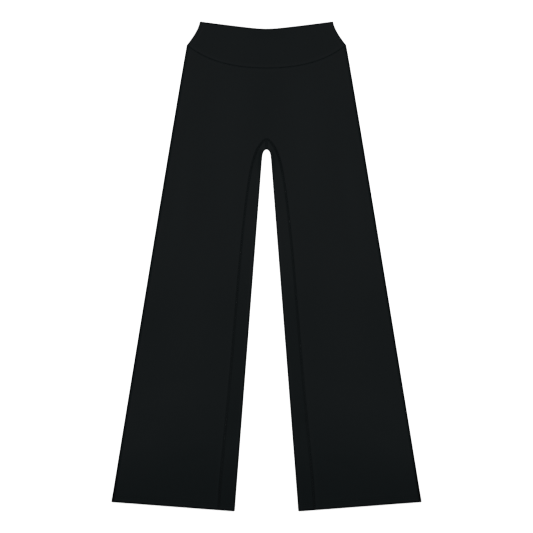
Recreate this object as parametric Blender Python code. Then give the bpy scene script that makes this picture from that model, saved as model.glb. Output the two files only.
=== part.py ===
# Wide-leg yoga pants, laid flat on their back and seen from the front.
#
# X runs to the viewer's right, Y towards the waist and Z up, off the surface they lie on.
# The origin is the middle of the outline, on the underside. Left and right are the wearer's.
# Each piece is a wall of cloth: a net of points in plan, lifted to the levels of its two faces.
import math
from collections import namedtuple

import bpy
import bmesh
import numpy as np

# Outline, in metres. A drop is measured down from the waist's two corners, and out from the middle line.
LENGTH = 1.076  # down to the hems' inner corners
WAIST_HALF = 0.146
WAIST_DIP = 0.0159  # the top edge in the middle lies lower than its corners
WAIST_SPREAD = 0.0264  # how wide the bottom of that dip is
HIP_HALF = 0.1745  # where the waistband meets the side seams
BAND_SIDE_DROP = 0.0513
BAND_MIDDLE_DROP = 0.1014
BAND_FLARE = 1.47  # over 1, so the waistband's sides are hollow curves
BAND_SEAM_FOURTH = 0.37  # share of the fourth power in the waistband seam's curve
CROTCH_DROP = 0.2801
CROTCH_HALF = 0.0089  # the gap between the legs, carried up to the crotch in a straight line
CROTCH_ROUND = 0.0082
HEM_INNER_OUT = 0.0705
HEM_OUTER_OUT = 0.3405
HEM_OUTER_DROP = 1.0556
SIDE_BOW = 0.0013  # the side seams bow out from a straight line
SIDE_BOW_HIGH = 0.55  # under 1, so the bow is fullest over the hip

# The seam between a front panel and an inner-leg panel, from the top of its arch down to the hem.
ARCH_DROP = 0.2574
INNER_SEAM = [
    # below,  out
    (0.0000, 0.0000),
    (0.0033, 0.0066),
    (0.0121, 0.0142),
    (0.0253, 0.0223),
    (0.0473, 0.0302),
    (0.0803, 0.0371),
    (0.1353, 0.0451),
    (0.2013, 0.0526),
    (0.2893, 0.0610),
    (0.3773, 0.0682),
    (0.5093, 0.0791),
    (0.6413, 0.0912),
    (0.7733, 0.1032),
    (0.8158, 0.1062),
]
FOLD_LAG = 0.0203  # a row's inseam point runs this far behind its seam point, along the leg

# Cloth.
CLOTH = 0.0012
DOUBLED = 0.0018  # waistband, hem and the seam allowance under the waistband, pressed flat
SEAM_GAP = 0.0003
EDGE_ROUND = 0.0009  # folded edges
SEAM_ROUND = 0.0005  # edges that turn in to a seam
HEM_DEPTH = 0.018
ALLOWANCE_DEPTH = 0.010
STEP_HALF = 0.002  # half the width over which doubled cloth thins to one layer

# Soft swells of the front panel, where it stands a little off the back.
SWELLS = [
    # out,  drop, half width, half length, height
    (0.088, 0.300, 0.050, 0.170, 0.0020),
    (0.165, 0.400, 0.042, 0.170, 0.0014),
    (0.138, 0.640, 0.048, 0.200, 0.0016),
    (0.225, 0.790, 0.050, 0.190, 0.0018),
    (0.165, 0.925, 0.045, 0.115, 0.0012),
]

# How closely the nets are drawn.
ARCH_STEP = 0.0013
ARCH_ROWS = 9
LEG_ROWS = 16
HIP_ROWS = 8
BAND_ROWS = 4
ACROSS = 10
EDGE_SHARE = 0.3  # a row or column is drawn this far into a rounded edge
STRIP_ARC = (-90, -45, 0, 45, 90)  # degrees round the inseam fold
SHARP = 50  # degrees between faces that meet in a crease
ON_MIDDLE = 0.000001

BLACK_JERSEY = (0.0095, 0.0114, 0.0122)
JERSEY_ROUGHNESS = 0.85


def mix(a, b, share):
    return a + (b - a) * share


def table_curve(table, at):
    """A smooth curve through a table. Worked out on the first column's square root, it starts level."""
    along = np.sqrt([row[0] for row in table])
    value = np.array([row[1] for row in table])
    slope = np.gradient(value, along)
    x = math.sqrt(at)
    k = int(np.clip(np.searchsorted(along, x) - 1, 0, len(along) - 2))
    span = along[k + 1] - along[k]
    t = (x - along[k]) / span
    start = (1 + 2 * t) * (1 - t) ** 2 * value[k] + t * (1 - t) ** 2 * span * slope[k]
    end = t * t * (3 - 2 * t) * value[k + 1] - t * t * (1 - t) * span * slope[k + 1]
    return start + end


def hem_drop(out):
    return mix(LENGTH, HEM_OUTER_DROP, (out - HEM_INNER_OUT) / (HEM_OUTER_OUT - HEM_INNER_OUT))


def waist_drop(out):
    dip = math.hypot(out, WAIST_SPREAD) - WAIST_SPREAD
    return WAIST_DIP * (1 - dip / (math.hypot(WAIST_HALF, WAIST_SPREAD) - WAIST_SPREAD))


def seam_rise(share):
    """How far the waistband seam has risen, 0 in the middle and 1 at the side seam."""
    return (1 - BAND_SEAM_FOURTH) * share**2 + BAND_SEAM_FOURTH * share**4


def side_out(drop):
    share = max(0.0, (drop - BAND_SIDE_DROP) / (HEM_OUTER_DROP - BAND_SIDE_DROP))
    return mix(HIP_HALF, HEM_OUTER_OUT, share) + SIDE_BOW * math.sin(math.pi * min(share, 1) ** SIDE_BOW_HIGH)


def fold_out(drop):
    """The inseam fold: a straight line down the leg, rounded off at the crotch."""
    below = max(0.0, drop - CROTCH_DROP)
    straight = mix(CROTCH_HALF, HEM_INNER_OUT, below / (LENGTH - CROTCH_DROP))
    return straight * math.sqrt(math.tanh(below / CROTCH_ROUND))


HEM_BELOW = hem_drop(INNER_SEAM[-1][1]) - ARCH_DROP  # the hem, measured down the inner-leg seam


def lag(below):
    return below - FOLD_LAG * (1 - math.exp(-below / FOLD_LAG))


def cloth_at(from_hem=1.0, from_band=1.0):
    """Thickness of the cloth, by the distance up from the hem and down from the waistband seam."""
    doubled = max(HEM_DEPTH - from_hem, ALLOWANCE_DEPTH - from_band)
    return float(np.interp(doubled, (-STEP_HALF, STEP_HALF), (CLOTH, DOUBLED)))


def turn_in(distance, radius):
    """How far a rounded edge has turned in, at this distance from it."""
    reach = radius - min(max(distance, 0.0), radius)
    return radius - math.sqrt(radius**2 - reach**2)


def lift(out, drop):
    """The front panel's height off the back panel."""
    height = 0.0
    for centre, down, half_width, half_length, top in SWELLS:
        far = math.hypot((out - centre) / half_width, (drop - down) / half_length)
        height += top * math.cos(min(far, 1) * math.pi / 2) ** 2
    return height


# A point of a piece in plan: where it is, how far from the nearest fold and seam, and its cloth's thickness.
Point = namedtuple("Point", "out drop fold seam cloth")


def leg_rows():
    """Distances below the arch's top, from the hem up: close at the hem's edge and at the round arch."""
    hem = [0, EDGE_ROUND * EDGE_SHARE, EDGE_ROUND, HEM_DEPTH - STEP_HALF, HEM_DEPTH + STEP_HALF]
    hem = [HEM_BELOW - up for up in hem]
    arch = [ARCH_STEP * k * k for k in range(ARCH_ROWS)]
    straight = np.linspace(hem[-1], arch[-1], LEG_ROWS)[1:-1]
    return [*hem, *straight, *arch[::-1]]


def hip_rows():
    """Distances below the waistband seam in the middle, from just above the arch up to the seam."""
    depth = ARCH_DROP - BAND_MIDDLE_DROP
    top = [ALLOWANCE_DEPTH + STEP_HALF, ALLOWANCE_DEPTH - STEP_HALF, SEAM_ROUND, 0.0]
    return [*np.linspace(depth, top[0], HIP_ROWS)[1:-1], *top]


def across(width):
    """Shares of a row's width, even but for the edge sewn on the inside and the folded edge at the side."""
    even = np.linspace(SEAM_ROUND, width - EDGE_ROUND, ACROSS + 1)
    return [distance / width for distance in (0, *even, width - EDGE_ROUND * EDGE_SHARE, width)]


def panel_plan(inside):
    """Half a front or back panel in plan, no nearer the middle than inside. Rows run up from the hem."""
    plan = []
    for below in leg_rows():
        from_hem = HEM_BELOW - below
        inner = max(inside, table_curve(INNER_SEAM, below))
        side_drop = mix(ARCH_DROP, HEM_OUTER_DROP, below / HEM_BELOW)
        width = side_out(side_drop) - inner
        row = []
        for share in across(width):
            drop = mix(ARCH_DROP + below, side_drop, share)
            fold = min((1 - share) * width, from_hem)
            seam = max(share * width, SEAM_ROUND - below)
            row.append(Point(inner + share * width, drop, fold, seam, cloth_at(from_hem=from_hem)))
        plan.append(row)
    for from_band in hip_rows():
        middle_drop = BAND_MIDDLE_DROP + from_band
        rise = (ARCH_DROP - middle_drop) / (ARCH_DROP - BAND_MIDDLE_DROP)
        side_drop = mix(ARCH_DROP, BAND_SIDE_DROP, rise)
        width = side_out(side_drop) - inside
        row = []
        for share in across(width):
            drop = mix(middle_drop, side_drop, seam_rise(share))
            seam = min(from_band, share * width) if inside else from_band
            fold = (1 - share) * width
            row.append(Point(inside + share * width, drop, fold, seam, cloth_at(from_band=from_band)))
        plan.append(row)
    return plan


def band_plan():
    """Half a waistband in plan: rows from its seam up to its top fold."""
    plan = []
    for k in range(BAND_ROWS + 4):
        row = []
        for share in across(HIP_HALF):
            seam_drop = mix(BAND_MIDDLE_DROP, BAND_SIDE_DROP, seam_rise(share)) - SEAM_GAP
            top_drop = waist_drop(share * WAIST_HALF)
            height = seam_drop - top_drop
            even = np.linspace(height - SEAM_ROUND, EDGE_ROUND, BAND_ROWS + 1)
            from_top = (height, *even, EDGE_ROUND * EDGE_SHARE, 0)[k]
            width = mix(WAIST_HALF, HIP_HALF, (from_top / height) ** BAND_FLARE)
            fold = min(from_top, (1 - share) * width)
            row.append(Point(share * width, top_drop + from_top, fold, height - from_top, DOUBLED))
        plan.append(row)
    return plan


def place(out, drop, height):
    return (out, LENGTH / 2 - drop, height)


def turned(point):
    return max(turn_in(point.fold, EDGE_ROUND), turn_in(point.seam, SEAM_ROUND))


def front_faces(plan):
    """The upper and lower faces of a wall that lies on the back of the garment."""
    upper, lower = [], []
    for row in plan:
        low = [point.cloth + SEAM_GAP + lift(point.out, point.drop) for point in row]
        high = [z + point.cloth - turned(point) for point, z in zip(row, low)]
        lower.append([place(point.out, point.drop, z) for point, z in zip(row, low)])
        upper.append([place(point.out, point.drop, z) for point, z in zip(row, high)])
    return np.array(upper), np.array(lower)


def back_faces(plan):
    """The upper and lower faces of a wall that lies on the ground."""
    upper = [[place(point.out, point.drop, point.cloth) for point in row] for row in plan]
    lower = [[place(point.out, point.drop, turned(point)) for point in row] for row in plan]
    return np.array(upper), np.array(lower)


def strip_faces():
    """The outer and inner faces of an inner-leg panel, which goes round the inseam fold, back to front."""
    outer, inner = [], []
    fold_length = LENGTH - CROTCH_DROP
    for below in leg_rows():
        from_hem = HEM_BELOW - below
        seam = np.array((table_curve(INNER_SEAM, below), ARCH_DROP + below))
        fold_drop = CROTCH_DROP + fold_length * lag(below) / lag(HEM_BELOW)
        fold = np.array((fold_out(fold_drop), fold_drop))
        width = np.linalg.norm(seam - fold)
        towards_seam = (seam - fold) / width
        half = cloth_at(from_hem=from_hem) + SEAM_GAP / 2
        for faces, radius in ((outer, half - turn_in(from_hem, EDGE_ROUND)), (inner, SEAM_GAP / 2)):
            end = SEAM_ROUND if faces is outer else 0
            flat = [(width - SEAM_GAP, radius - end), (width - SEAM_GAP - SEAM_ROUND, radius)]
            flat.append(((width + half) / 2, radius))
            section = [(distance, half - reach) for distance, reach in flat]
            for degrees in STRIP_ARC:
                angle = math.radians(degrees)
                section.append((half - radius * math.cos(angle), half + radius * math.sin(angle)))
            section += [(distance, half + reach) for distance, reach in reversed(flat)]
            row = []
            for distance, height in section:
                out, drop = fold + towards_seam * distance
                row.append(place(max(out, SEAM_GAP / 2), drop, height))
            faces.append(row)
    return np.array(outer), np.array(inner)


def mirrored(faces):
    """The same faces on the other side of the middle line, still turned outwards."""
    return tuple(face[:, ::-1] * (-1, 1, 1) for face in faces)


def jersey(name):
    material = bpy.data.materials.new(name)
    material.use_nodes = True
    shader = material.node_tree.nodes["Principled BSDF"]
    shader.inputs["Base Color"].default_value = (*BLACK_JERSEY, 1)
    shader.inputs["Roughness"].default_value = JERSEY_ROUGHNESS
    shader.inputs["Metallic"].default_value = 0
    material.diffuse_color = (*BLACK_JERSEY, 1)
    return material


def add_wall(name, faces, halved=False):
    """A closed wall between two faces. A halved one is open on the middle line, and mirrored."""
    outer, inner = faces
    rows, columns = outer.shape[:2]
    bm = bmesh.new()
    out_points = [[bm.verts.new(point) for point in row] for row in outer]
    in_points = [[bm.verts.new(point) for point in row] for row in inner]
    for r in range(rows - 1):
        for c in range(columns - 1):
            around = [(r, c), (r, c + 1), (r + 1, c + 1), (r + 1, c)]
            bm.faces.new([out_points[i][j] for i, j in around])
            bm.faces.new([in_points[i][j] for i, j in reversed(around)])
    rim = [(0, c) for c in range(columns)]
    rim += [(r, columns - 1) for r in range(1, rows)]
    rim += [(rows - 1, c) for c in range(columns - 2, -1, -1)]
    rim += [(r, 0) for r in range(rows - 2, 0, -1)]
    for here, there in zip(rim, rim[1:] + rim[:1]):
        corners = [in_points[here[0]][here[1]], in_points[there[0]][there[1]]]
        corners += [out_points[there[0]][there[1]], out_points[here[0]][here[1]]]
        if halved and all(abs(corner.co.x) < ON_MIDDLE for corner in corners):
            continue
        bm.faces.new(corners)
    mesh = bpy.data.meshes.new(name)
    bm.to_mesh(mesh)
    bm.free()
    piece = bpy.data.objects.new(name, mesh)
    bpy.context.scene.collection.objects.link(piece)
    mesh.materials.append(jersey(name + "_jersey"))
    mesh.shade_smooth()
    mesh.set_sharp_from_angle(angle=math.radians(SHARP))
    if halved:
        mirror = piece.modifiers.new("other_half", "MIRROR")
        mirror.merge_threshold = ON_MIDDLE
    return piece


def main():
    for old in list(bpy.data.objects):
        bpy.data.objects.remove(old, do_unlink=True)
    add_wall("front_panel", front_faces(panel_plan(inside=0)), halved=True)
    back = back_faces(panel_plan(inside=SEAM_GAP / 2))
    add_wall("back_panel_left", back)
    add_wall("back_panel_right", mirrored(back))
    strip = strip_faces()
    add_wall("inner_leg_left", strip)
    add_wall("inner_leg_right", mirrored(strip))
    add_wall("waistband_front", front_faces(band_plan()), halved=True)
    add_wall("waistband_back", back_faces(band_plan()), halved=True)


main()
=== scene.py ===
import math

import bpy
import numpy as np
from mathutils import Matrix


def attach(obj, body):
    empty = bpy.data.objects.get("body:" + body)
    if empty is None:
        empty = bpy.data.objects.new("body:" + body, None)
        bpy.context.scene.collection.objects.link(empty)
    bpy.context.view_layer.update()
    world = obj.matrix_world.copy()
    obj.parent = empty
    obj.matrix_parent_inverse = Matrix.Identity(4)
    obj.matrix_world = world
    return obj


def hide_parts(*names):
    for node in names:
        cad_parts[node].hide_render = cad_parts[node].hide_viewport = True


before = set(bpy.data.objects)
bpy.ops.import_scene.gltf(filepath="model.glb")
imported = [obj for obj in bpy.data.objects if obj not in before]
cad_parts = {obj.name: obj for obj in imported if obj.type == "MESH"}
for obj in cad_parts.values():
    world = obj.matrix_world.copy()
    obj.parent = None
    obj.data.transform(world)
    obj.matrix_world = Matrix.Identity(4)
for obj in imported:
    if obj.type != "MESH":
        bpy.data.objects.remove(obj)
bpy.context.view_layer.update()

# The cut, as the part has it.
cut = {
    "length": 1.076,  # down to the hems' inner corners
    "waistHalf": 0.146,
    "waistDip": 0.0159,
    "waistSpread": 0.0264,
    "hipHalf": 0.1745,
    "bandSideDrop": 0.0513,
    "bandMiddleDrop": 0.1014,
    "bandFlare": 1.47,
    "bandFourth": 0.37,
    "crotchDrop": 0.2801,
    "crotchHalf": 0.0089,
    "crotchRound": 0.0082,
    "hemInnerOut": 0.0705,
    "hemOuterOut": 0.3405,
    "hemOuterDrop": 1.0556,
    "sideBow": 0.0013,
    "sideBowHigh": 0.55,
    "archDrop": 0.2574,
}
innerSeam = np.array([
    # below the arch's top, out
    (0.0000, 0.0000), (0.0033, 0.0066), (0.0121, 0.0142), (0.0253, 0.0223), (0.0473, 0.0302),
    (0.0803, 0.0371), (0.1353, 0.0451), (0.2013, 0.0526), (0.2893, 0.0610), (0.3773, 0.0682),
    (0.5093, 0.0791), (0.6413, 0.0912), (0.7733, 0.1032), (0.8158, 0.1062),
])
cloth = {
    "single": 0.0012,
    "doubled": 0.0018,  # waistband, hem and the allowance under the waistband
    "gap": 0.0003,  # between the layers
    "join": 0.00004,  # between edges that are sewn together
    "hemDepth": 0.018,
    "allowance": 0.010,
    "step": 0.002,  # half the width over which doubled cloth thins to one layer
    "drape": 0.009,  # how far the front layer takes to come down off a step under it
    "sideFade": (0.0060, 0.0090),  # the side seam's allowance lies inside, along the side, up to here
    "sideRise": 0.00035,
    "shutReach": 0.004,  # the layers close on each other this near the side
    "foldReach": 0.0017,  # how far in from the side the outer face starts to roll over
    "hemReach": 0.0010,
    "rolled": 0.94,  # share of its thickness that a piece rolls over at the side
    "folded": 0.47,  # the same for each face of a folded edge
    "steepest": 0.9995,  # a roll stops just short of upright
    "outerShare": 0.95,  # of its thickness a wall's outer face turns in this much at most
    "bothShare": 0.98,
    "creaseFade": 0.012,  # creases level out this near a side or a fold
    "hollowOffSeam": (0.002, 0.010),  # and those of the back near its seams
    "hollowOffMiddle": (0.002, 0.012),
    "swellSoft": 0.0002,
}
linePoints = {"seam": 600, "fold": 400, "side": 120, "band": 160, "bandSide": 60, "top": 80}
measuredAtOnce = 2000  # points


def mix(a, b, share):
    return a + (b - a) * share


def smooth(x, start, end):  # 0 at start, 1 at end, level at both
    share = np.clip((x - start) / (end - start), 0, 1)
    return share * share * (3 - 2 * share)


def hermite(table, at):  # through the table, against the square root of its first column
    along, value = np.sqrt(table[:, 0]), table[:, 1]
    slope, x = np.gradient(value, along), np.sqrt(at)
    k = np.clip(np.searchsorted(along, x) - 1, 0, len(along) - 2)
    span = along[k + 1] - along[k]
    t = (x - along[k]) / span
    start = (1 + 2 * t) * (1 - t) ** 2 * value[k] + t * (1 - t) ** 2 * span * slope[k]
    return start + t * t * (3 - 2 * t) * value[k + 1] - t * t * (1 - t) * span * slope[k + 1]


def hemDrop(out):
    share = (out - cut["hemInnerOut"]) / (cut["hemOuterOut"] - cut["hemInnerOut"])
    return mix(cut["length"], cut["hemOuterDrop"], share)


def waistDrop(out):
    wide = cut["waistSpread"]
    dip = np.hypot(out, wide) - wide
    return cut["waistDip"] * (1 - dip / (math.hypot(cut["waistHalf"], wide) - wide))


def bandDrop(out):
    share = out / cut["hipHalf"]
    rise = (1 - cut["bandFourth"]) * share**2 + cut["bandFourth"] * share**4
    return mix(cut["bandMiddleDrop"], cut["bandSideDrop"], rise)


def sideOut(drop):
    share = np.clip((drop - cut["bandSideDrop"]) / (cut["hemOuterDrop"] - cut["bandSideDrop"]), 0, None)
    bow = cut["sideBow"] * np.sin(math.pi * np.minimum(share, 1) ** cut["sideBowHigh"])
    return mix(cut["hipHalf"], cut["hemOuterOut"], share) + bow


def foldOut(drop):
    below = np.maximum(0, drop - cut["crotchDrop"])
    straight = mix(cut["crotchHalf"], cut["hemInnerOut"], below / (cut["length"] - cut["crotchDrop"]))
    return straight * np.sqrt(np.tanh(below / cut["crotchRound"]))


def lengthAlong(line):
    return np.concatenate([[0], np.cumsum(np.linalg.norm(np.diff(line, axis=0), axis=1))])


def walk(line, at):  # the points at these distances along a line
    along = lengthAlong(line)
    return np.stack([np.interp(at, along, line[:, k]) for k in (0, 1)], axis=-1)


def nearest(line, points):  # each point's distance from a line, and how far along the line that is
    flat, start, span = points.reshape(-1, 2), line[:-1], np.diff(line, axis=0)
    squared, along, found = (span**2).sum(1), lengthAlong(line), []
    for part in np.array_split(flat, 1 + len(flat) // measuredAtOnce):
        away = part[:, None] - start
        share = np.clip((away * span).sum(2) / squared, 0, 1)
        distance = np.linalg.norm(away - share[..., None] * span, axis=2)
        best, each = distance.argmin(1), np.arange(len(part))
        found.append((distance[each, best], along[best] + share[each, best] * np.sqrt(squared[best])))
    return [np.concatenate(kind).reshape(points.shape[:-1]) for kind in zip(*found)]


def distanceTo(line, points):
    return nearest(line, points)[0]


# The lines that the pieces are cut to. The inner-leg seam and the fold run down from the middle line.
hemSlope = math.atan2(cut["length"] - cut["hemOuterDrop"], cut["hemOuterOut"] - cut["hemInnerOut"])
seamDepth = hemDrop(innerSeam[-1, 1]) - cut["archDrop"]
below = np.linspace(0, math.sqrt(seamDepth), linePoints["seam"]) ** 2
seamLine = np.stack([hermite(innerSeam, below), cut["archDrop"] + below], axis=1)
below = np.linspace(0, math.sqrt(cut["length"] - cut["crotchDrop"]), linePoints["fold"]) ** 2
foldLine = np.stack([foldOut(cut["crotchDrop"] + below), cut["crotchDrop"] + below], axis=1)
drops = np.linspace(cut["hemOuterDrop"], cut["bandSideDrop"], linePoints["side"])
sideLine = np.stack([sideOut(drops), drops], axis=1)
outs = np.linspace(cut["hipHalf"], 0, linePoints["band"])
bandLine = np.stack([outs, bandDrop(outs)], axis=1)
edgeLine = np.concatenate([sideLine, bandLine[1:]])  # up the side, then in along the waistband
shares = np.linspace(0, 1, linePoints["bandSide"])
bandSideLine = np.stack([
    mix(cut["waistHalf"], cut["hipHalf"], shares ** cut["bandFlare"]),
    mix(waistDrop(cut["waistHalf"]), cut["bandSideDrop"] - cloth["join"], shares),
], axis=1)
outs = np.linspace(0, cut["waistHalf"], linePoints["top"])
topLine = np.stack([outs, waistDrop(outs)], axis=1)
seamLength, foldLength, sideLength, edgeLength = (
    lengthAlong(line)[-1] for line in (seamLine, foldLine, sideLine, edgeLine))

# How the cloth lies: soft swells and creases, each a long hump, or a trough where its height is under 0.
swells = [
    # x, drop, turn in degrees from the leg's length, half length, half width, height: the same on both legs
    (0.088, 0.300, 0, 0.170, 0.050, 0.0020),
    (0.165, 0.400, 0, 0.170, 0.042, 0.0014),
    (0.138, 0.640, 0, 0.200, 0.048, 0.0016),
    (0.225, 0.790, 0, 0.190, 0.050, 0.0018),
    (0.165, 0.925, 0, 0.115, 0.045, 0.0012),
]
frontRelief = [(x * side, drop, turn * side, *size) for side in (1, -1) for x, drop, turn, *size in swells]
frontCreases = [
    # x, drop, turn, half length, half width, height
    (0.125, 0.285, 9, 0.150, 0.016, -0.0008),
    (0.060, 0.330, 14, 0.085, 0.010, -0.0005),
    (-0.121, 0.300, -10, 0.135, 0.014, -0.0007),
    (-0.063, 0.318, -12, 0.095, 0.011, -0.0006),
    (0.178, 0.520, 11, 0.140, 0.019, 0.0006),
    (-0.186, 0.485, -9, 0.120, 0.016, 0.0005),
    (0.112, 0.560, 3, 0.120, 0.013, -0.0005),
    (-0.118, 0.610, -4, 0.140, 0.015, -0.0006),
    (0.205, 0.700, -58, 0.075, 0.020, 0.0007),
    (-0.182, 0.735, 62, 0.090, 0.024, 0.0008),
    (0.155, 0.800, -66, 0.080, 0.017, -0.0006),
    (-0.235, 0.815, 55, 0.065, 0.016, -0.0006),
    (0.245, 0.905, -52, 0.070, 0.018, -0.0007),
    (-0.160, 0.880, 70, 0.070, 0.020, 0.0006),
    (0.190, 0.985, -12, 0.105, 0.022, 0.0010),
    (-0.230, 0.990, 10, 0.100, 0.020, 0.0009),
    (0.270, 1.000, 8, 0.085, 0.014, 0.0007),
    (-0.145, 1.010, -8, 0.080, 0.016, 0.0008),
    (0.000, 0.180, 0, 0.070, 0.034, 0.0005),
    (0.045, 0.215, 38, 0.060, 0.009, 0.0005),
    (-0.047, 0.212, -40, 0.055, 0.010, 0.0006),
    (0.060, 0.035, 84, 0.070, 0.020, 0.0005),
    (-0.055, 0.045, -82, 0.080, 0.022, 0.0006),
]
backCreases = [
    # hollows up off the surface, on the hidden side
    (0.090, 0.235, 24, 0.120, 0.018, 0.0007),
    (-0.094, 0.225, -20, 0.105, 0.020, 0.0008),
    (0.130, 0.430, 12, 0.150, 0.020, 0.0006),
    (-0.122, 0.460, -14, 0.130, 0.017, 0.0006),
    (0.150, 0.640, 50, 0.080, 0.022, 0.0007),
    (-0.170, 0.670, -46, 0.090, 0.020, 0.0006),
    (0.215, 0.840, 20, 0.120, 0.024, 0.0006),
    (-0.205, 0.860, -24, 0.110, 0.022, 0.0007),
    (0.045, 0.300, 16, 0.060, 0.009, 0.0005),
    (-0.047, 0.305, -18, 0.055, 0.009, 0.0005),
]
sewing = {
    # the inner-leg seam: a flat band, sunk a little, with a needle row down each side
    "sinkFrom": 0.0003,  # it starts to rise this far outside a needle row
    "sinkTo": 0.0012,
    "sinkDepth": 0.0002,
    "bandShift": 0.0006,  # the band lies this much more on the inner-leg panel
    "needleAt": 0.0022,  # the needle rows, each side of the band's middle
    "needleHalf": 0.0008,
    "needleDepth": 0.0002,
    "joinReach": 0.0007,  # where the two edges meet
    "joinDepth": 0.0003,
    "middleFrom": (0.001, 0.004),  # the inner-leg panels' middle seam starts this far off their fold
    "hemRows": (0.012, 0.016),  # up from the hem's edge
    "hemRowHalf": 0.0008,
    "hemRowDepth": 0.00022,
    "bandReach": 0.0019,  # the waistband rolls over into its seam
    "bandDepth": 0.0011,
    "panelReach": 0.0018,
    "panelDepth": 0.0013,
    "backReach": 0.0015,  # the plain seam down the middle of the back
    "backDepth": 0.0009,
    "dipAt": 0.0055,  # at the crotch the inner-leg panel dips just inside its seam
    "dipHalf": 0.0052,
    "dipDepth": 0.0007,
    "dipLength": (0.040, 0.105),  # along the seam: whole to here, gone from there
    "pinchHalf": 0.0032,  # a crease in the inner-leg panel that nears the fold as it runs down
    "pinchDepth": 0.0006,
    "pinchDrops": (0.281, 0.290, 0.318, 0.352),
    "pinchAt": (0.0078, 0.0070, 0.0052, 0.0034),
}


def humps(table, x, drop):
    height = np.zeros_like(x)
    for atX, atDrop, turn, halfLength, halfWidth, top in table:
        angle = math.radians(turn)
        along = (drop - atDrop) * math.cos(angle) + (x - atX) * math.sin(angle)
        across = (x - atX) * math.cos(angle) - (drop - atDrop) * math.sin(angle)
        far = np.hypot(along / halfLength, across / halfWidth)
        height += top * np.cos(np.minimum(far, 1) * math.pi / 2) ** 2
    return height


def positive(height):  # never under 0, with no corner
    soft = cloth["swellSoft"]
    return (height + np.sqrt(height**2 + soft**2) - soft) / 2


def between(x, span):  # 0, up to 1, and down to 0 again
    return smooth(x, span[0], span[1]) * (1 - smooth(x, span[2], span[3]))


def roll(distance, reach, depth):  # an edge that turns over: depth at the edge, level from reach on
    share = np.minimum(1 - np.clip(distance / reach, 0, 1), cloth["steepest"])
    return depth * (1 - np.sqrt(1 - share**2))


def groove(distance, at, half, depth):
    return depth * np.cos(np.clip(np.abs(distance - at) / half, 0, 1) * math.pi / 2) ** 2


def hemRows(near, half, depth):
    return sum(groove(near["hem"], up, half, depth) for up in sewing["hemRows"])


def pinch(near, half, depth):
    drops = sewing["pinchDrops"]
    at = np.interp(near["drop"], drops, sewing["pinchAt"])
    return groove(near["fold"], at, half, depth) * between(near["drop"], drops)


def measure(plan):  # how far each point of a plan is from every line that matters to it
    x, out, drop = plan[..., 0], np.abs(plan[..., 0]), plan[..., 1]
    points = np.stack([out, drop], axis=-1)
    seam, along = nearest(seamLine, points)
    return {
        "x": x, "drop": drop, "out": out,
        "seam": seam, "along": along,
        "band": distanceTo(bandLine, points),
        "side": np.minimum(distanceTo(sideLine, points), distanceTo(bandSideLine, points)),
        "fold": distanceTo(foldLine, points),
        "hem": np.maximum(0, hemDrop(out) - drop) * math.cos(hemSlope),
    }


def isBand(near):
    return near["drop"] < bandDrop(near["out"])


def doubledAt(distance, reach):  # 1 where the cloth is doubled, down to 0 past its step
    return 1 - smooth(distance, reach - cloth["step"], reach + cloth["step"])


def thickness(near):
    hem, band = doubledAt(near["hem"], cloth["hemDepth"]), doubledAt(near["band"], cloth["allowance"])
    return mix(cloth["single"], cloth["doubled"], np.where(isBand(near), 1, np.maximum(hem, band)))


def stepUnder(near):  # how far the front layer is held up by the back's doubled cloth
    hem = 1 - smooth(near["hem"], cloth["hemDepth"], cloth["hemDepth"] + cloth["drape"])
    band = 1 - smooth(near["band"], cloth["allowance"], cloth["allowance"] + cloth["drape"])
    held = np.where(isBand(near), 1, np.maximum(hem, band))
    return mix(cloth["single"], cloth["doubled"], held)


def layers(near):  # heights of the back's two faces and the front's, before any edge is turned
    x, drop, side = near["x"], near["drop"], near["side"]
    fade = smooth(np.minimum(side, near["fold"]), 0, cloth["creaseFade"])
    hollow = fade * humps(backCreases, x, drop) * smooth(near["seam"], *cloth["hollowOffSeam"])
    hollow *= smooth(near["out"], *cloth["hollowOffMiddle"])
    swell = fade * positive(humps(frontRelief, x, drop) + humps(frontCreases, x, drop))
    thick = thickness(near)
    shut = (cloth["gap"] - cloth["join"]) / 2 * (1 - smooth(side, 0, cloth["shutReach"]))
    frontLow = hollow + mix(thick, stepUnder(near), fade) + cloth["gap"] - shut + swell
    frontHigh = frontLow + thick + cloth["sideRise"] * (1 - smooth(side, *cloth["sideFade"]))
    backHigh = hollow + thick + shut
    return {"backLow": hollow, "backHigh": backHigh, "frontLow": frontLow, "frontHigh": frontHigh}


def seamBand(distance, at):  # the flat band of an inner-leg seam, its needle row this far from the seam
    sunk = sewing["sinkDepth"] * (1 - smooth(distance, at + sewing["sinkFrom"], at + sewing["sinkTo"]))
    sunk += groove(distance, at, sewing["needleHalf"], sewing["needleDepth"])
    return sunk + roll(distance, sewing["joinReach"], sewing["joinDepth"])


def foldedEdge(distance):  # how far each face turns in at a hem or the waistband's top
    return roll(distance, cloth["hemReach"], cloth["doubled"] * cloth["folded"])


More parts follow.
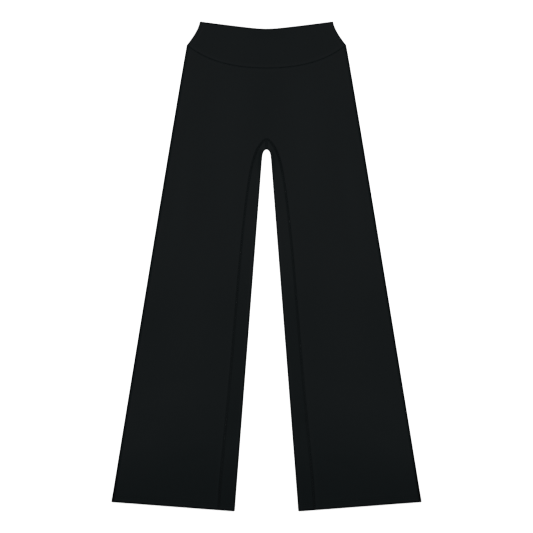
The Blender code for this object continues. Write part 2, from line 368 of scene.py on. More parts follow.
def turnedIn(near, piece):  # how far a piece's outer face lies under its level, at edges and sewing
    if piece == "band":
        edge = roll(near["band"], sewing["bandReach"], sewing["bandDepth"])
        edge = np.maximum(edge, roll(near["side"], cloth["foldReach"], cloth["doubled"] * cloth["rolled"]))
        return np.maximum(edge, foldedEdge(near["top"]))
    rows = hemRows(near, sewing["hemRowHalf"], sewing["hemRowDepth"]) + foldedEdge(near["hem"])
    if piece == "leg":
        band = seamBand(near["seam"], sewing["needleAt"] + sewing["bandShift"])
        middle = seamBand(near["out"], sewing["needleAt"]) * smooth(near["fold"], *sewing["middleFrom"])
        inside = groove(near["seam"], sewing["dipAt"], sewing["dipHalf"], sewing["dipDepth"])
        inside *= 1 - smooth(near["along"], *sewing["dipLength"])
        crease = pinch(near, sewing["pinchHalf"], sewing["pinchDepth"])
        return np.maximum(band, middle) + inside + crease + rows
    sideDepth = (cloth["single"] + cloth["sideRise"]) * cloth["rolled"]
    edge = np.maximum(
        roll(near["side"], cloth["foldReach"], sideDepth),
        roll(near["band"], sewing["panelReach"], sewing["panelDepth"]))
    if piece == "back":
        edge = np.maximum(edge, roll(near["out"], sewing["backReach"], sewing["backDepth"]))
    return np.maximum(edge, seamBand(near["seam"], sewing["needleAt"] - sewing["bandShift"])) + rows


def twoFaces(level, isFront, outside, inside):  # heights of both faces, turned in but never crossing
    side = "front" if isFront else "back"
    high, low = level[side + "High"], level[side + "Low"]
    outside = np.minimum(outside, cloth["outerShare"] * (high - low))
    inside = np.minimum(inside, cloth["bothShare"] * (high - low) - outside)
    return (high - outside, low + inside) if isFront else (low + outside, high - inside)


# Painted shade and painted light, worked into the colour.
shade = {
    "plain": 0.76,  # the share of the cloth's light that its colour makes, which is what shade can change
    "least": 0.03,
    "slantFrom": 0.07,  # shade on the shins and hems starts lower, the further out it is from here
    "legLoss": 0.07, "legFrom": (0.50, 0.66),
    "shinLoss": 0.09, "shinFrom": (0.78, 0.95), "shinSlant": 0.30,
    "hemLoss": 0.12, "hemFrom": (0.90, 1.04), "hemSlant": 0.12,
    "hemRowLoss": 0.06, "hemRowHalf": 0.0012,
    "middleLoss": 0.19, "middleTo": (0.0026, 0.0046),
    "waistLoss": 0.16, "waistTo": (0.0002, 0.0040),
    "bandTone": 0.97, "bandLoss": 0.14, "bandTo": (0.0003, 0.0022),
    "pinchLoss": 0.24, "pinchHalf": 0.0036,
    "outline": 0.60, "wall": (-0.0002, 0.0007),
    "innerDrops": (0.277, 0.285, 0.300, 0.330, 0.440, 0.720, 0.875, 0.940, 1.050),
    "innerLosses": (0.00, 0.14, 0.14, 0.04, 0.00, 0.10, 0.11, 0.00, 0.06),
    "sideDrops": (0.06, 0.25, 0.95, 1.05),
    "sideLosses": (0.24, 0.36, 0.34, 0.60),
    "sideTo": (0.0020, 0.0076),
}
paintedOutlines = {  # painted shade, the dark just inside an edge: whole up to here, gone from there
    "hem": (0.0006, 0.0040), "side": (0.0006, 0.0036), "fold": (0.0005, 0.0024),
    "bandSide": (0.0005, 0.0026), "bandTop": (0.0005, 0.0034),
}
paintedLines = {  # painted highlight, a paler line along an edge or a seam, or painted shade, a darker one, under 0: how far in, half width, change
    "hem": (0.0058, 0.0022, 0.05), "side": (0.0085, 0.0028, 0.04), "fold": (0.0050, 0.0026, 0.10),
    "waist": (0.0053, 0.0018, 0.05), "back": (0, 0.0018, -0.20),
    "band": (0.0037, 0.0018, 0.10), "bandTop": (0.0056, 0.0022, 0.08),
    "bandSide": (0.0056, 0.0018, -0.10), "bandIn": (0.0085, 0.0030, 0.08),
    "panelSeam": (0.0052, 0.0020), "innerSeam": (0.0064, 0.0020),
}
shadePatches = [
    # painted light and shade in soft patches, lighter where the change is over 0: x, drop, turn, half
    # length, half width, change
    (0.085, 0.270, 0, 0.260, 0.070, 0.045),
    (-0.085, 0.270, 0, 0.260, 0.070, 0.045),
    (0.187, 0.380, 8, 0.190, 0.030, 0.045),
    (-0.187, 0.375, -8, 0.190, 0.030, 0.045),
    (0.000, 0.170, 0, 0.130, 0.060, -0.030),
    (0.000, 0.028, 0, 0.018, 0.075, -0.060),
    (0.172, 0.660, 8, 0.190, 0.085, 0.040),
    (-0.172, 0.670, -8, 0.190, 0.085, 0.040),
    (0.205, 0.835, 80, 0.120, 0.050, 0.030),
    (-0.215, 0.825, -80, 0.120, 0.045, 0.035),
    (0.265, 0.925, 55, 0.070, 0.030, 0.035),
    (-0.275, 0.920, -60, 0.080, 0.028, 0.030),
    (0.160, 0.965, 70, 0.080, 0.022, -0.030),
    (-0.175, 0.955, -75, 0.090, 0.024, -0.030),
]
seamShade = np.array([
    # along the seam, painted shade's loss, on the panel: fades from, to, painted highlight beside it, on
    # the inner leg: the same three
    (0.00, 0.26, 0.0000, 0.0031, 0.00, 0.0010, 0.0042, 0.00),
    (0.02, 0.36, 0.0000, 0.0031, 0.00, 0.0014, 0.0052, 0.00),
    (0.05, 0.30, 0.0000, 0.0034, 0.00, 0.0012, 0.0058, 0.03),
    (0.11, 0.26, 0.0002, 0.0031, 0.01, 0.0010, 0.0050, 0.01),
    (0.30, 0.23, 0.0002, 0.0032, 0.01, 0.0016, 0.0052, 0.05),
    (0.60, 0.12, 0.0018, 0.0038, 0.04, 0.0026, 0.0048, 0.10),
    (0.72, 0.15, 0.0020, 0.0038, 0.07, 0.0028, 0.0046, 0.12),
    (0.77, 0.22, 0.0018, 0.0036, 0.08, 0.0024, 0.0044, 0.12),
    (0.83, 0.28, 0.0010, 0.0030, 0.06, 0.0010, 0.0042, 0.10),
])


# painted highlight along a line, and painted shade where the change is under 0
def paintedLine(distance, line, change=None):
    at, half = paintedLines[line][:2]
    return 1 + groove(distance, at, half, paintedLines[line][2] if change is None else change)


def paintedOutline(distance, edge):  # painted shade, darker just inside an edge, and none on the edge's own wall
    dark = 1 - smooth(distance, *paintedOutlines[edge])
    return 1 - shade["outline"] * dark * smooth(distance, *shade["wall"])


def shadeOf(near, piece):
    drop, out, side, band = near["drop"], near["out"], near["side"], near["band"]
    outer = out - shade["slantFrom"]
    tone = 1 - shade["legLoss"] * smooth(drop, *shade["legFrom"])
    tone -= shade["shinLoss"] * smooth(drop - shade["shinSlant"] * outer, *shade["shinFrom"])
    tone -= shade["hemLoss"] * smooth(drop - shade["hemSlant"] * outer, *shade["hemFrom"])
    tone *= 1 + humps(shadePatches, near["x"], drop)
    tone *= 1 - hemRows(near, shade["hemRowHalf"], shade["hemRowLoss"])
    tone *= paintedOutline(near["hem"], "hem") * paintedLine(near["hem"], "hem")
    if piece == "band":
        tone *= shade["bandTone"] * (1 - shade["bandLoss"] * (1 - smooth(band, *shade["bandTo"])))
        tone *= paintedLine(band, "band") * paintedLine(side, "bandSide") * paintedLine(side, "bandIn")
        tone *= paintedOutline(side, "bandSide") * paintedOutline(near["top"], "bandTop")
        return tone * paintedLine(near["top"], "bandTop")
    loss, panelFrom, panelTo, panelHighlight, innerFrom, innerTo, innerHighlight = (
        np.interp(near["along"], seamShade[:, 0], seamShade[:, k]) for k in range(1, seamShade.shape[1]))
    if piece == "leg":
        tone *= 1 - np.interp(drop, shade["innerDrops"], shade["innerLosses"])
        line = np.maximum(
            loss * (1 - smooth(near["seam"], innerFrom, innerTo)),
            shade["middleLoss"] * (1 - smooth(out, *shade["middleTo"])))
        tone *= 1 - line - pinch(near, shade["pinchHalf"], shade["pinchLoss"])
        tone *= paintedLine(near["seam"], "innerSeam", innerHighlight)
        return tone * paintedOutline(near["fold"], "fold") * paintedLine(near["fold"], "fold")
    tone *= 1 - loss * (1 - smooth(near["seam"], panelFrom, panelTo))
    tone *= paintedLine(near["seam"], "panelSeam", panelHighlight)
    tone *= 1 - shade["waistLoss"] * (1 - smooth(band, *shade["waistTo"]))
    tone *= paintedLine(band, "waist")
    beside = np.interp(drop, shade["sideDrops"], shade["sideLosses"])
    beside *= smooth(side, *shade["wall"]) * (1 - smooth(side, *shade["sideTo"]))
    tone *= paintedOutline(side, "side") * (1 - beside) * paintedLine(side, "side")
    return tone * paintedLine(out, "back") if piece == "back" else tone


jersey = {
    "colour": (0.0052, 0.0064, 0.0068),
    "shadeColour": (0.0029, 0.0061, 0.0069),  # painted shade: what the colour tends to where shade is painted in
    # colour of that shine-less copy, set so the painted outline shade runs on from the jersey without a
    # step
    "shadedRimColour": (0.0080, 0.0100, 0.0107),
    "turned": 0.0016,  # painted shade: the outline that turns over, this far in from the edge, takes a copy of the jersey with no shine, so it stays dark
    "roughness": 0.78,
    "roughVary": 0.12,
    "shine": 0.03,
    "sheen": 0.02,
    "sheenRoughness": 0.5,
    "sheenTint": (0.72, 0.88, 0.95),
    "wale": 0.0009,  # width of one column of knit loops
    "course": 0.0007,  # height of one row of them
    "relief": 0.00010,
    "ribShare": -0.5,  # of the relief: the columns, then the loops
    "loopShare": 0.3,
    "bump": 0.5,
    "wander": 90.0,  # how fine the columns' wander is, the clouds of dye, and the flecks
    "cloud": 14.0,
    "fleck": 900.0,
    "wanderVary": 0.8,
    "cloudVary": 0.05,
    "fleckVary": 0.10,
    "headHighlight": 0.08,  # painted highlight, paler loop heads
}

# Nets of points. A row runs from the inner-leg seam out to the side or up to the waistband.
net = {
    "rowStep": 0.0075,
    "columns": 30,
    "fanFrom": 0.138,  # the rows fan out round the arch from this far down its seam
    "fanSide": 24,
    "fanBand": 22,
    "fanClose": 0.004,
    "fanEnd": 0.010,  # the last fanned row, from the middle line
    "nearHem": (0, 0.00012, 0.00035, 0.0007, 0.0011, 0.003, 0.006, 0.009),
    "acrossRow": 5,  # steps across each hem row
    "aboveHem": (0.018, 0.0195, 0.021, 0.024, 0.028),
    "nearMiddle": (0.0025, 0.0015, 0.0008, 0.0003, 0.0),
    "nearSeam": (0, 0.0002, 0.0005, 0.0009, 0.0014, 0.0018, 0.0022, 0.0026, 0.0031, 0.0045),
    "nearEdge": (0.0105, 0.0090, 0.0075, 0.0060, 0.0040, 0.0026,
                 0.0018, 0.0011, 0.0006, 0.0003, 0.0001, 0),
}


def legUps():  # distances up from the hem, to where the fan starts
    rows = [up + sewing["hemRowHalf"] * np.linspace(-1, 1, net["acrossRow"]) for up in sewing["hemRows"]]
    ups = np.concatenate([net["nearHem"], *rows, net["aboveHem"]])
    top = seamLength - net["fanFrom"]
    return np.concatenate([ups, np.linspace(ups[-1], top, int((top - ups[-1]) / net["rowStep"]))[1:]])


def seamSteps():  # down the seam from the arch, against up the side and in along the waistband
    ups = legUps()
    count = net["fanSide"] + net["fanBand"]
    fan = net["fanClose"] * (net["fanFrom"] / net["fanClose"]) ** (1 - np.arange(1, count + 1) / count)
    middle = np.array(net["nearMiddle"])
    edge = np.concatenate([
        ups,
        np.linspace(ups[-1], sideLength, net["fanSide"] + 1)[1:],
        np.linspace(sideLength, edgeLength - net["fanEnd"], net["fanBand"] + 1)[1:],
        edgeLength - middle,
    ])
    return np.concatenate([seamLength - ups, fan, middle]), edge


def panelPlan():
    seamAt, edgeAt = seamSteps()
    start, end = walk(seamLine, seamAt), walk(edgeLine, edgeAt)
    width = np.linalg.norm(end - start, axis=1)[:, None]
    near, far = np.array(net["nearSeam"]), width - np.array(net["nearEdge"])
    inner = near[-1] + (far[:, :1] - near[-1]) * np.linspace(0, 1, net["columns"])[1:-1]
    away = np.concatenate([np.broadcast_to(near, (len(width), len(near))), inner, far], axis=1)
    return start[:, None] + (end - start)[:, None] * (away / width)[..., None]


def mirrored(plan):
    return plan * (-1, 1)


def place(x, drop, z):
    return np.stack([x, cut["length"] / 2 - drop, z], axis=-1)


def newPiece(name, data):
    piece = bpy.data.objects.new(name, data)
    bpy.context.scene.collection.objects.link(piece)
    return piece


def wallMesh(name, outer, inner, uv, tone, rim):  # a closed wall between two nets of points
    rows, columns = tone.shape
    count = rows * columns
    index = np.arange(count).reshape(rows, columns)
    quads = np.stack([index[:-1, :-1], index[:-1, 1:], index[1:, 1:], index[1:, :-1]], axis=-1)
    quads = quads.reshape(-1, 4)
    border = np.concatenate([index[0, :-1], index[:-1, -1], index[-1, :0:-1], index[:0:-1, 0]])
    after = np.roll(border, -1)
    sides = np.stack([border + count, after + count, after, border], axis=-1)
    faces = np.concatenate([quads, quads[:, ::-1] + count, sides])
    row, column = rows // 2, columns // 2
    here, right, down = outer[row, column], outer[row, column + 1], outer[row + 1, column]
    if np.dot(np.cross(right - here, down - here), here - inner[row, column]) < 0:
        faces = faces[:, ::-1]
    points = np.concatenate([outer.reshape(-1, 3), inner.reshape(-1, 3)])
    mesh = bpy.data.meshes.new(name)
    mesh.from_pydata(points.tolist(), [], faces.tolist())
    layer = mesh.uv_layers.new(name="cloth")
    corners = np.concatenate([uv.reshape(-1, 2)] * 2)[faces.ravel()]
    layer.uv.foreach_set("vector", corners.astype(np.float32).ravel())
    tones = np.concatenate([tone.ravel()] * 2)
    colourShare = np.maximum(shade["least"], 1 - (1 - tones) / shade["plain"])
    layer = mesh.attributes.new("shade", "FLOAT", "POINT")
    layer.data.foreach_set("value", colourShare.astype(np.float32))
    # faces in the painted outline shade take the copy of the jersey with no shine
    turned = np.concatenate([rim.ravel()] * 2)[faces].mean(axis=1) < jersey["turned"]
    mesh.polygons.foreach_set("material_index", turned.astype(np.int32))
    mesh.shade_smooth()
    mesh.update()
    return newPiece(name, mesh)


# Front and back panels.
def panel(name, plan, face):
    near = measure(plan)
    heights = twoFaces(layers(near), face == "front", turnedIn(near, face), foldedEdge(near["hem"]))
    faces = [place(near["x"], near["drop"], z) for z in heights]
    return wallMesh(name, *faces, plan, shadeOf(near, face), np.minimum(near["side"], near["hem"]))


def frontPanel(name):
    half = panelPlan()
    return panel(name, np.concatenate([mirrored(half)[:-1], half[::-1]]), "front")


def backPanel(name, side):
    plan = panelPlan()
    plan[..., 0] = np.maximum(plan[..., 0], cloth["join"] / 2) * side
    return panel(name, plan, "back")


print("front and back panels")
front = frontPanel("frontPanel")
backLeft = backPanel("backPanelLeft", 1)
backRight = backPanel("backPanelRight", -1)

# Inner-leg panels, each folded round the inseam.
innerLeg = {
    "lag": 0.0262,  # a row's fold point runs this far behind its seam point
    "flat": 7,  # steps over the flat of each face, and round the fold
    "arc": 9,
}


def lagged(at):
    return at - innerLeg["lag"] * (1 - np.exp(-at / (2 * innerLeg["lag"])))


def innerLegPanel(name, side):
    seamAt = seamSteps()[0]
    seam = walk(seamLine, seamAt)
    fold = walk(foldLine, foldLength * lagged(seamAt) / lagged(seamLength))
    width = np.linalg.norm(seam - fold, axis=1)[:, None]
    ahead = (seam - fold) / width

    def planAt(distance):
        plan = fold[:, None] + ahead[:, None] * distance[..., None]
        plan[..., 0] = np.maximum(plan[..., 0], 0) * side
        return plan

    up = np.maximum(0, hemDrop(seam[:, 0]) - seam[:, 1])[:, None]
    half = mix(cloth["single"], cloth["doubled"], doubledAt(up, cloth["hemDepth"])) + cloth["gap"] / 2
    seamSide = width - cloth["join"] - np.array(net["nearSeam"])
    even = half + (seamSide[:, -1:] - half) * np.linspace(0, 1, innerLeg["flat"] + 1)[:-1]
    flat = np.concatenate([even, seamSide[:, ::-1]], axis=1)  # from the fold to the seam
    angles = np.radians(np.linspace(-90, 90, innerLeg["arc"]))[1:-1]
    distance = np.concatenate([flat[:, ::-1], half * (1 - np.cos(angles)), flat], axis=1)
    plan = planAt(distance)
    near = measure(plan)
    near["along"] = np.broadcast_to(seamAt[:, None], distance.shape)
    near["fold"] = distance
    level, turn = layers(near), foldedEdge(near["hem"])
    outside = turnedIn(near, "leg")
    backFaces, frontFaces = twoFaces(level, False, outside, turn), twoFaces(level, True, outside, turn)
    back, bend = slice(0, flat.shape[1]), slice(flat.shape[1], flat.shape[1] + len(angles))
    radii = (half - turn[:, bend], cloth["gap"] / 2 + turn[:, bend])
    faces = []
    for backZ, frontZ, radius in zip(backFaces, frontFaces, radii):
        z, bent = frontZ.copy(), plan.copy()
        z[:, back] = backZ[:, back]
        z[:, bend] = half + radius * np.sin(angles)
        bent[:, bend] = planAt(half - radius * np.cos(angles))
        faces.append(place(bent[..., 0], bent[..., 1], z))
    unrolled = np.concatenate([-flat[:, ::-1], half * angles, flat], axis=1) * side
    uv = np.stack([unrolled, plan[..., 1]], axis=-1)
    return wallMesh(name, *faces, uv, shadeOf(near, "leg"), np.minimum(near["fold"], near["hem"]))


print("inner-leg panels")
legLeft = innerLegPanel("innerLegLeft", 1)
legRight = innerLegPanel("innerLegRight", -1)

# Waistband.
waistband = {
    "across": 44,
    "rows": 14,
    "puff": 0.00045,  # it stands up a little between its seam and its top fold
    "puffRound": 0.7,
    "nearSeam": (0, 0.0002, 0.0005, 0.0010, 0.0016, 0.0023, 0.0032),
    "nearTop": (0.0030, 0.0016, 0.0010, 0.0006, 0.0003, 0.0001, 0),
    "nearSide": (0, 0.0001, 0.0003, 0.0006, 0.0011, 0.0018, 0.0026, 0.0036,
                 0.0046, 0.0056, 0.0066, 0.0076, 0.0086, 0.0100, 0.0120),
}


def waistbandPiece(name, isFront):
    sides = np.array(waistband["nearSide"]) / cut["hipHalf"]
    middle = np.linspace(-1 + sides[-1], 1 - sides[-1], waistband["across"])[1:-1]
    shares = np.concatenate([-1 + sides, middle, 1 - sides[::-1]])
    out = np.abs(shares)
    seamDrop = bandDrop(out * cut["hipHalf"]) - cloth["join"]
    height = seamDrop - waistDrop(out * cut["waistHalf"])
    near, far = np.array(waistband["nearSeam"])[:, None], height - np.array(waistband["nearTop"])[:, None]
    inner = near[-1] + (far[0] - near[-1]) * np.linspace(0, 1, waistband["rows"])[1:-1, None]
    up = np.concatenate([np.broadcast_to(near, (len(near), len(out))), inner, far])
    fromTop = np.clip(1 - up / height, 0, 1)
    wide = mix(cut["waistHalf"], cut["hipHalf"], fromTop ** cut["bandFlare"])
    plan = np.stack([shares * wide, seamDrop - up], axis=-1)
    near = measure(plan)
    near["side"] = distanceTo(bandSideLine, np.abs(plan))
    near["top"] = distanceTo(topLine, np.abs(plan))
    near["hem"] = np.ones_like(near["side"])  # nowhere near
    level = layers(near)
    if isFront:
        puff = waistband["puff"] * np.sin(fromTop * math.pi) ** waistband["puffRound"]
        level["frontHigh"] += puff * smooth(near["side"], 0, cloth["creaseFade"])
    heights = twoFaces(level, isFront, turnedIn(near, "band"), foldedEdge(near["top"]))
    faces = [place(near["x"], near["drop"], z) for z in heights]
    rim = np.minimum((1 - out) * cut["hipHalf"], near["top"])
    return wallMesh(name, *faces, plan, shadeOf(near, "band"), rim)


print("waistband")
bandFront = waistbandPiece("waistbandFront", True)
bandBack = waistbandPiece("waistbandBack", False)

# Finishes.
thread = {
    "colour": (0.0042, 0.0055, 0.0060),
    "roughness": 0.55,
    "shine": 0.06,
    "ply": 0.0006,  # one turn of its twist
    "relief": 0.00005,
    "bump": 0.4,
    "fuzz": 1500.0,
    "fuzzVary": 0.4,
}


def fill(node, values):  # links an input to a socket, or sets it to a plain value
    for name, value in values.items():
        if isinstance(value, bpy.types.NodeSocket):
            node.id_data.links.new(value, node.inputs[name])
        else:
            node.inputs[name].default_value = value


def newNode(tree, kind, settings=(), **values):  # i0 stands for the first input, i1 for the second
    node = tree.nodes.new(kind)
    for name, value in dict(settings).items():
        setattr(node, name, value)
    fill(node, {int(name[1:]) if name[1:].isdigit() else name: value for name, value in values.items()})
    return node


def maths(tree, operation, a, b=0.0, c=0.0):
    return newNode(tree, "ShaderNodeMath", {"operation": operation}, i0=a, i1=b, i2=c).outputs[0]


def wave(tree, turns):
    return maths(tree, "COSINE", maths(tree, "MULTIPLY", turns, 2 * math.pi))


def noise(tree, where, scale, detail):
    return newNode(tree, "ShaderNodeTexNoise", Vector=where, Scale=scale, Detail=detail).outputs[0]


def vary(tree, value, gain, base=1.0):  # base, give or take half the gain
    return maths(tree, "MULTIPLY_ADD", value, gain, base - gain / 2)


def bumped(tree, height, sizes):
    node = newNode(tree, "ShaderNodeBump", Strength=sizes["bump"], Distance=sizes["relief"], Height=height)
    return node.outputs[0]


def blend(tree, kind, share, a, b):
    settings = {"data_type": "RGBA", "blend_type": kind}
    return newNode(tree, "ShaderNodeMix", settings, i0=share, i6=a, i7=b).outputs[2]


def newMaterial(name):
    material = bpy.data.materials.new(name)
    material.use_nodes = True
    return material, material.node_tree.nodes["Principled BSDF"]


def jerseyMaterial(name, colour, shine, sheen):
    material, shader = newMaterial(name)
    tree = material.node_tree
    where = newNode(tree, "ShaderNodeUVMap", {"uv_map": "cloth"}).outputs[0]
    # knit: loops lean left and right of each wale, and wander a little
    split = newNode(tree, "ShaderNodeSeparateXYZ", i0=where)
    slip = vary(tree, noise(tree, where, jersey["wander"], 2.0), jersey["wanderVary"], 0.0)
    across = maths(tree, "ADD", maths(tree, "DIVIDE", split.outputs[0], jersey["wale"]), slip)
    along = maths(tree, "ADD", maths(tree, "DIVIDE", split.outputs[1], jersey["course"]), slip)
    lean = maths(tree, "ABSOLUTE", maths(tree, "SUBTRACT", maths(tree, "FRACT", across), 0.5))
    rib = maths(tree, "MULTIPLY", wave(tree, lean), jersey["ribShare"])
    loop = maths(tree, "MULTIPLY", wave(tree, maths(tree, "ADD", along, lean)), jersey["loopShare"])
    height = maths(tree, "ADD", rib, loop)
    # colour: soft clouds of dye, flecks, a painted highlight on the loop heads, and the painted shade
    # worked out for this piece
    tone = newNode(tree, "ShaderNodeAttribute", {"attribute_name": "shade"}).outputs["Fac"]
    fleck = noise(tree, where, jersey["fleck"], 1.0)
    cloud = vary(tree, noise(tree, where, jersey["cloud"], 3.0), jersey["cloudVary"])
    dyeAndHighlight = maths(tree, "MULTIPLY", cloud, vary(tree, fleck, jersey["fleckVary"]))
    dyeAndHighlight = maths(tree, "MULTIPLY", dyeAndHighlight, maths(tree, "MULTIPLY_ADD", height, jersey["headHighlight"], 1.0))
    shadedTint = blend(tree, "MIX", tone, (*jersey["shadeColour"], 1), (*colour, 1))
    tint = blend(tree, "MULTIPLY", 1.0, shadedTint, maths(tree, "MULTIPLY", tone, dyeAndHighlight))
    fill(shader, {
        "Base Color": tint,
        "Roughness": vary(tree, fleck, jersey["roughVary"], jersey["roughness"]),
        "Normal": bumped(tree, height, jersey),
        "Specular IOR Level": shine,
        "Sheen Weight": sheen,
        "Sheen Roughness": jersey["sheenRoughness"],
        "Sheen Tint": (*jersey["sheenTint"], 1),
    })
    return material


def threadMaterial():
    material, shader = newMaterial("blackThread")
    tree = material.node_tree
    where = newNode(tree, "ShaderNodeTexCoord").outputs["Object"]
    split = newNode(tree, "ShaderNodeSeparateXYZ", i0=where)
    slant = maths(tree, "ADD", split.outputs[0], split.outputs[1])
    ply = maths(tree, "SINE", maths(tree, "MULTIPLY", slant, 2 * math.pi / thread["ply"]))
    fuzz = vary(tree, noise(tree, where, thread["fuzz"], 2.0), thread["fuzzVary"])
    fill(shader, {
        "Base Color": blend(tree, "MULTIPLY", 1.0, (*thread["colour"], 1), fuzz),
        "Roughness": thread["roughness"],
        "Normal": bumped(tree, ply, thread),
        "Specular IOR Level": thread["shine"],
    })
    return material


print("finishes")
blackJersey = jerseyMaterial("blackJersey", jersey["colour"], jersey["shine"], jersey["sheen"])
# a copy of the jersey with no shine, for the painted outline shade at the edges
shadedRimJersey = jerseyMaterial("shadedRimJersey", jersey["shadedRimColour"], 0.0, 0.0)
blackThread = threadMaterial()
for piece in (front, backLeft, backRight, legLeft, legRight, bandFront, bandBack):
    piece.data.materials.append(blackJersey)
    piece.data.materials.append(shadedRimJersey)

# Stitching.
stitchSizes = {
    "Pitch": 0.0028,  # from one stitch to the next
    "Long": 0.0023,
    "Thick": 0.00038,
    "Seed": 7,
}
coverSizes = {
    "Pitch": 0.0026,  # from one peak of the thread to the next
    "Half width": sewing["needleAt"],
    "Thick": 0.00030,
    "Curl": 0.00015,  # how rounded its turns are
}
stitching = {
    "depth": 0.00016,  # stitches lie this far into the cloth's face
    "astray": 0.07,  # how far a stitch may turn out of line
    "segments": 6,
    "rings": 4,
    "curlSteps": 2,
    "threadSides": 5,
    "offHem": 0.0030,  # the seams' rows stop this far off the hem, and the hem's off the fold and the side
    "offFold": 0.0022,
    "offSide": 0.0020,
    "offArch": 0.0042,  # the short rows between the inner-leg panels, off their seam's top and the crotch
    "offCrotch": 0.0012,
    "hemSpare": (0.004, 0.002),  # the hem's path runs this far past it before it is cut to length
    "leastOut": 0.0001,  # off the middle line
    "seamPoints": 420,
    "hemPoints": 90,
    "middlePoints": 12,
}


def groupTree(name, sizes):
    tree = bpy.data.node_groups.new(name, "GeometryNodeTree")
    tree.interface.new_socket("Geometry", in_out="INPUT", socket_type="NodeSocketGeometry")
    tree.interface.new_socket("Geometry", in_out="OUTPUT", socket_type="NodeSocketGeometry")
    for label, value in sizes.items():
        kind = "NodeSocketInt" if isinstance(value, int) else "NodeSocketFloat"
        tree.interface.new_socket(label, in_out="INPUT", socket_type=kind).default_value = value
    tree.interface.new_socket("Material", in_out="INPUT", socket_type="NodeSocketMaterial")
    return tree, tree.nodes.new("NodeGroupInput").outputs, tree.nodes.new("NodeGroupOutput")


def finishTree(tree, geometry, material, end):
    real = newNode(tree, "GeometryNodeRealizeInstances", Geometry=geometry).outputs[0]
    real = newNode(tree, "GeometryNodeSetShadeSmooth", Geometry=real).outputs[0]
    fill(end, {0: newNode(tree, "GeometryNodeSetMaterial", Geometry=real, Material=material).outputs[0]})
    return tree


def pointsAlong(tree, given, step):
    curve = newNode(tree, "GeometryNodeMeshToCurve", Mesh=given["Geometry"]).outputs[0]
    points = newNode(tree, "GeometryNodeResampleCurve", {"mode": "LENGTH"}, Curve=curve, Length=step)
    return points.outputs[0]


def vector(tree, operation, a, **values):
    return newNode(tree, "ShaderNodeVectorMath", {"operation": operation}, i0=a, **values).outputs[0]


def stitchRowTree():  # short stitches end to end along a path, each a little out of line
    tree, given, end = groupTree("stitchRow", stitchSizes)
    points = pointsAlong(tree, given, given["Pitch"])
    grain = newNode(tree, "GeometryNodeMeshUVSphere", Segments=stitching["segments"],
                    Rings=stitching["rings"], Radius=0.5).outputs["Mesh"]
    most = stitching["astray"]
    astray = newNode(tree, "FunctionNodeRandomValue", {"data_type": "FLOAT_VECTOR"},
                     i0=(-most, -most, 0), i1=(most, most, 0), Seed=given["Seed"]).outputs[0]
    tangent = newNode(tree, "GeometryNodeInputTangent").outputs[0]
    ahead = vector(tree, "ADD", tangent, i1=astray)
    turn = newNode(tree, "FunctionNodeAlignRotationToVector", {"axis": "X"}, Vector=ahead).outputs[0]
    long, thick = given["Long"], given["Thick"]
    size = newNode(tree, "ShaderNodeCombineXYZ", X=long, Y=thick, Z=thick).outputs[0]
    made = newNode(tree, "GeometryNodeInstanceOnPoints", Points=points, Instance=grain,
                   Rotation=turn, Scale=size).outputs[0]
    return finishTree(tree, made, given["Material"], end)


def coverThreadTree():  # a thread that zigzags from one needle row to the other, over the edges it covers
    tree, given, end = groupTree("coverThread", coverSizes)
    points = pointsAlong(tree, given, maths(tree, "MULTIPLY", given["Pitch"], 0.5))
    side = maths(tree, "MODULO", newNode(tree, "GeometryNodeInputIndex").outputs[0], 2.0)
    reach = maths(tree, "MULTIPLY", maths(tree, "MULTIPLY_ADD", side, 2.0, -1.0), given["Half width"])
    tangent = newNode(tree, "GeometryNodeInputTangent").outputs[0]
    offset = vector(tree, "SCALE", vector(tree, "CROSS_PRODUCT", tangent, i1=(0, 0, 1)), Scale=reach)
    zigzag = newNode(tree, "GeometryNodeSetPosition", Geometry=points, Offset=offset).outputs[0]
    curled = newNode(tree, "GeometryNodeFilletCurve", {"mode": "POLY"}, Curve=zigzag,
                     Count=stitching["curlSteps"], Radius=given["Curl"]).outputs[0]
    radius = maths(tree, "MULTIPLY", given["Thick"], 0.5)
    profile = newNode(tree, "GeometryNodeCurvePrimitiveCircle", Resolution=stitching["threadSides"],
                      Radius=radius).outputs["Curve"]
    made = newNode(tree, "GeometryNodeCurveToMesh", i0=curled, i1=profile)
    fill(made, {"Fill Caps": True})
    return finishTree(tree, made.outputs[0], given["Material"], end)


def sewAlong(name, tree, paths, sizes):  # runs a tree on paths, and keeps what it makes as a plain mesh
    points = np.concatenate(paths)
    starts = np.cumsum([0] + [len(path) for path in paths[:-1]])
    edges = [(start + k, start + k + 1) for start, path in zip(starts, paths) for k in range(len(path) - 1)]
    mesh = bpy.data.meshes.new(name)
    mesh.from_pydata(points.tolist(), edges, [])
    piece = newPiece(name, mesh)
    modifier = piece.modifiers.new("sewing", "NODES")
    modifier.node_group = tree
    for socket in tree.interface.items_tree:
        if socket.in_out == "INPUT" and socket.name in sizes:
            modifier[socket.identifier] = sizes[socket.name]
    made = bpy.data.meshes.new_from_object(piece.evaluated_get(bpy.context.evaluated_depsgraph_get()))
    made.name = name
    piece.modifiers.clear()
    piece.data = made
    return piece


def offsetLine(line, by):  # outward, away from the leg opening, where by is over 0
    ahead = np.gradient(line, axis=0)
    ahead /= np.linalg.norm(ahead, axis=1)[:, None]
    return line + by * np.stack([ahead[:, 1], -ahead[:, 0]], axis=1)


def onCloth(plan, face, depth):  # a path in plan, laid into the cloth's front or back face
    near = measure(plan)
    level = layers(near)
    z = level["frontHigh"] - depth if face == "front" else level["backLow"] + depth
    return place(plan[:, 0], plan[:, 1], z)


def seamPath(by):
    at = np.linspace(0, seamLength - stitching["offHem"], stitching["seamPoints"])
    line = offsetLine(walk(seamLine, at), by)
    return line[line[:, 0] > stitching["leastOut"]]


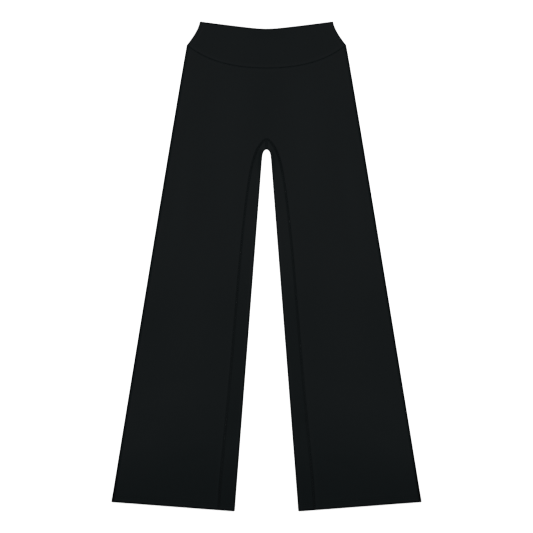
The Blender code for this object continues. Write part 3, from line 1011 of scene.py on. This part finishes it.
def hemPath(up):  # from just off the fold to just off the side
    before, past = stitching["hemSpare"]
    across = np.linspace(cut["hemInnerOut"] - before, cut["hemOuterOut"] + past, stitching["hemPoints"])
    line = np.stack([across, hemDrop(across)], axis=1)
    line = line - up * np.array([math.sin(hemSlope), math.cos(hemSlope)])
    offFold, offSide = line[:, 0] - foldOut(line[:, 1]), sideOut(line[:, 1]) - line[:, 0]
    return line[(offFold > stitching["offFold"]) & (offSide > stitching["offSide"])]


def middlePath(out):
    start, end = cut["archDrop"] + stitching["offArch"], cut["crotchDrop"] - stitching["offCrotch"]
    drops = np.linspace(start, end, stitching["middlePoints"])
    return np.stack([np.full(len(drops), out), drops], axis=1)


def stitchPieces(name, face, sides):
    needleAt, shift = sewing["needleAt"], sewing["bandShift"]
    short = [hemPath(up) for up in sewing["hemRows"]] + [middlePath(needleAt)]
    short = [path * (side, 1) for side in sides for path in short]
    seams = [seamPath(by - shift) for by in (needleAt, -needleAt, 0)]
    if len(sides) == 2:  # over the arch in one
        seams = [np.concatenate([mirrored(path)[::-1], path]) for path in seams]
    else:
        seams = [path * (sides[0], 1) for path in seams]
    paths = [onCloth(path, face, stitching["depth"]) for path in short + seams]
    stitches = sewAlong(name + "Stitches", stitchRow, paths[:-1], {**stitchSizes, "Material": blackThread})
    cover = sewAlong(name + "CoverThread", coverThread, paths[-1:], {**coverSizes, "Material": blackThread})
    return [stitches, cover]


print("stitching")
stitchRow = stitchRowTree()
coverThread = coverThreadTree()
frontSewing = stitchPieces("front", "front", (1, -1))
backLeftSewing = stitchPieces("backLeft", "back", (1,))
backRightSewing = stitchPieces("backRight", "back", (-1,))

# What each piece stands for, and the cut of what shows.
sheets = [
    # piece, part's node, finish, flat width, flat length, flat area, what it lies on, what is sewn on it
    (front, "front_panel", "front_jersey", 0.681, 1.022, 0.402, [backLeft, backRight], frontSewing),
    (backLeft, "back_panel_left", "back_jersey", 0.340, 1.022, 0.201, ["floor"], backLeftSewing),
    (backRight, "back_panel_right", "back_jersey", 0.340, 1.022, 0.201, ["floor"], backRightSewing),
    (legLeft, "inner_leg_left", "inner_leg_jersey", 0.077, 0.820, 0.050, ["floor"], []),
    (legRight, "inner_leg_right", "inner_leg_jersey", 0.077, 0.820, 0.050, ["floor"], []),
    (bandFront, "waistband_front", "waistband_jersey", 0.349, 0.101, 0.0266, [bandBack], []),
    (bandBack, "waistband_back", "waistband_jersey", 0.349, 0.101, 0.0266, ["floor"], []),
]
for piece, node, finish, wide, long, area, under, sewn in sheets:
    for sewnPiece in sewn:
        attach(sewnPiece, "root")
    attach(piece, "root")
    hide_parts(node)

# Floor, light and camera.
studio = {
    "floorSize": 14.0,
    "floorColour": (0.92, 0.92, 0.92),
    "floorRoughness": 0.9,
    "floorDrop": 0.0001,  # just under the cloth
    "worldLight": 0.92,
    "softbox": (0, 0.3, 2.9),
    "softboxSize": 2.4,
    "softboxPower": 40,
    "frameWide": 1.1726,  # what the picture spans at the cloth
    "lens": 200,
    "sensor": 36,
    "farthest": 100,
    "filter": 1.1,  # pixels, a little crisper than the usual 1.5
}


def makeFloor():
    half, low = studio["floorSize"] / 2, -studio["floorDrop"]
    corners = [(-half, -half, low), (half, -half, low), (half, half, low), (-half, half, low)]
    mesh = bpy.data.meshes.new("floor")
    mesh.from_pydata(corners, [], [(0, 1, 2, 3)])
    material, shader = newMaterial("paleFloor")
    colour = (*studio["floorColour"], 1)
    fill(shader, {"Base Color": colour, "Roughness": studio["floorRoughness"], "Specular IOR Level": 0.0})
    mesh.materials.append(material)
    floor = newPiece("floor", mesh)


def makeLight():
    world = bpy.data.worlds.new("studio")
    bpy.context.scene.world = world
    world.use_nodes = True
    fill(world.node_tree.nodes["Background"], {"Color": (1, 1, 1, 1), "Strength": studio["worldLight"]})
    lamp = bpy.data.lights.new("softbox", "AREA")
    lamp.shape, lamp.size, lamp.energy = "SQUARE", studio["softboxSize"], studio["softboxPower"]
    softbox = newPiece("softbox", lamp)
    softbox.location = studio["softbox"]
    softbox.rotation_euler = (math.atan2(-studio["softbox"][1], studio["softbox"][2]), 0, 0)
    softbox.visible_camera = False


def makeCamera():
    data = bpy.data.cameras.new("camera")
    data.lens, data.sensor_width, data.clip_end = studio["lens"], studio["sensor"], studio["farthest"]
    camera = newPiece("camera", data)
    camera.location = (0, 0, studio["frameWide"] * studio["lens"] / studio["sensor"])
    bpy.context.scene.camera = camera


print("floor, light and camera")
makeFloor()
makeLight()
makeCamera()
bpy.context.scene.view_settings.view_transform = "Standard"
bpy.context.scene.cycles.filter_width = studio["filter"]
